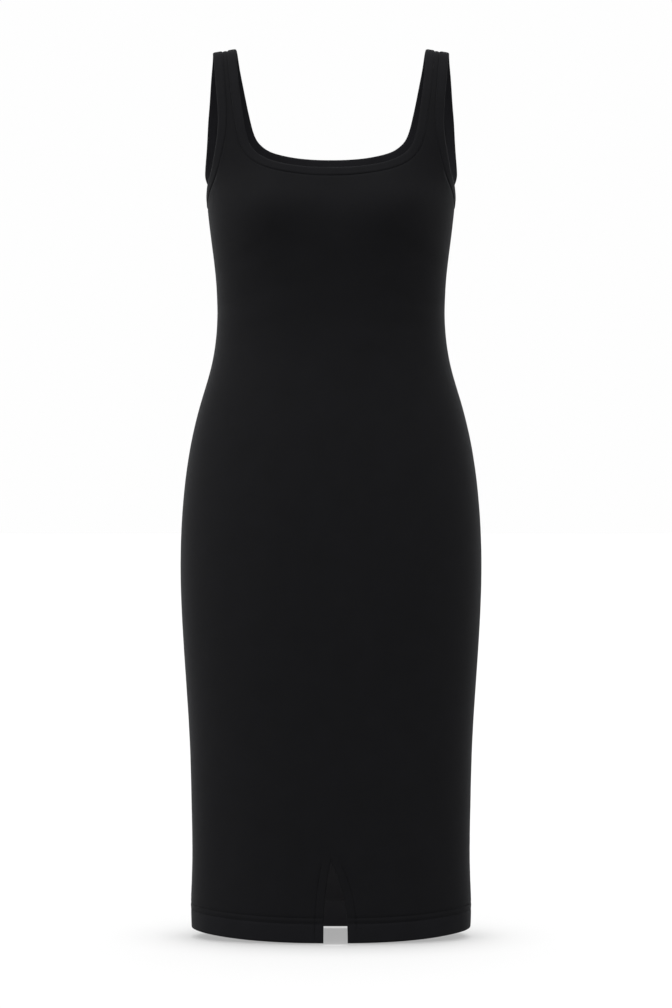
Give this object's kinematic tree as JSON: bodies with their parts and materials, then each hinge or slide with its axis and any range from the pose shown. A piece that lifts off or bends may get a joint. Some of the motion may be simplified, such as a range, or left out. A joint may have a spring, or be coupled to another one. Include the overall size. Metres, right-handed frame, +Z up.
{
  "type": "bodycon dress",
  "caption": "Sleeveless midi bodycon dress in jersey, worn form and hollow: wide square neckline, wide straps, banded edges, turned-up hem with a short open front slit.",
  "frame": {"origin": "midway between the two straps, level with their undersides at the shoulder seam, where a wearer's shoulders hold the dress up", "axes": "+Z up, -Y the way the front faces, +X towards the wearer's left"},
  "size_m": [0.3758, 0.246, 1.1068],
  "materials": {
    "black_jersey": "matt"
  },
  "bodies": {
    "root": {"front_panel": "black_jersey", "back_panel": "black_jersey", "neck_band": "black_jersey", "armhole_band_left": "black_jersey", "armhole_band_right": "black_jersey"}
  },
  "joints": []
}
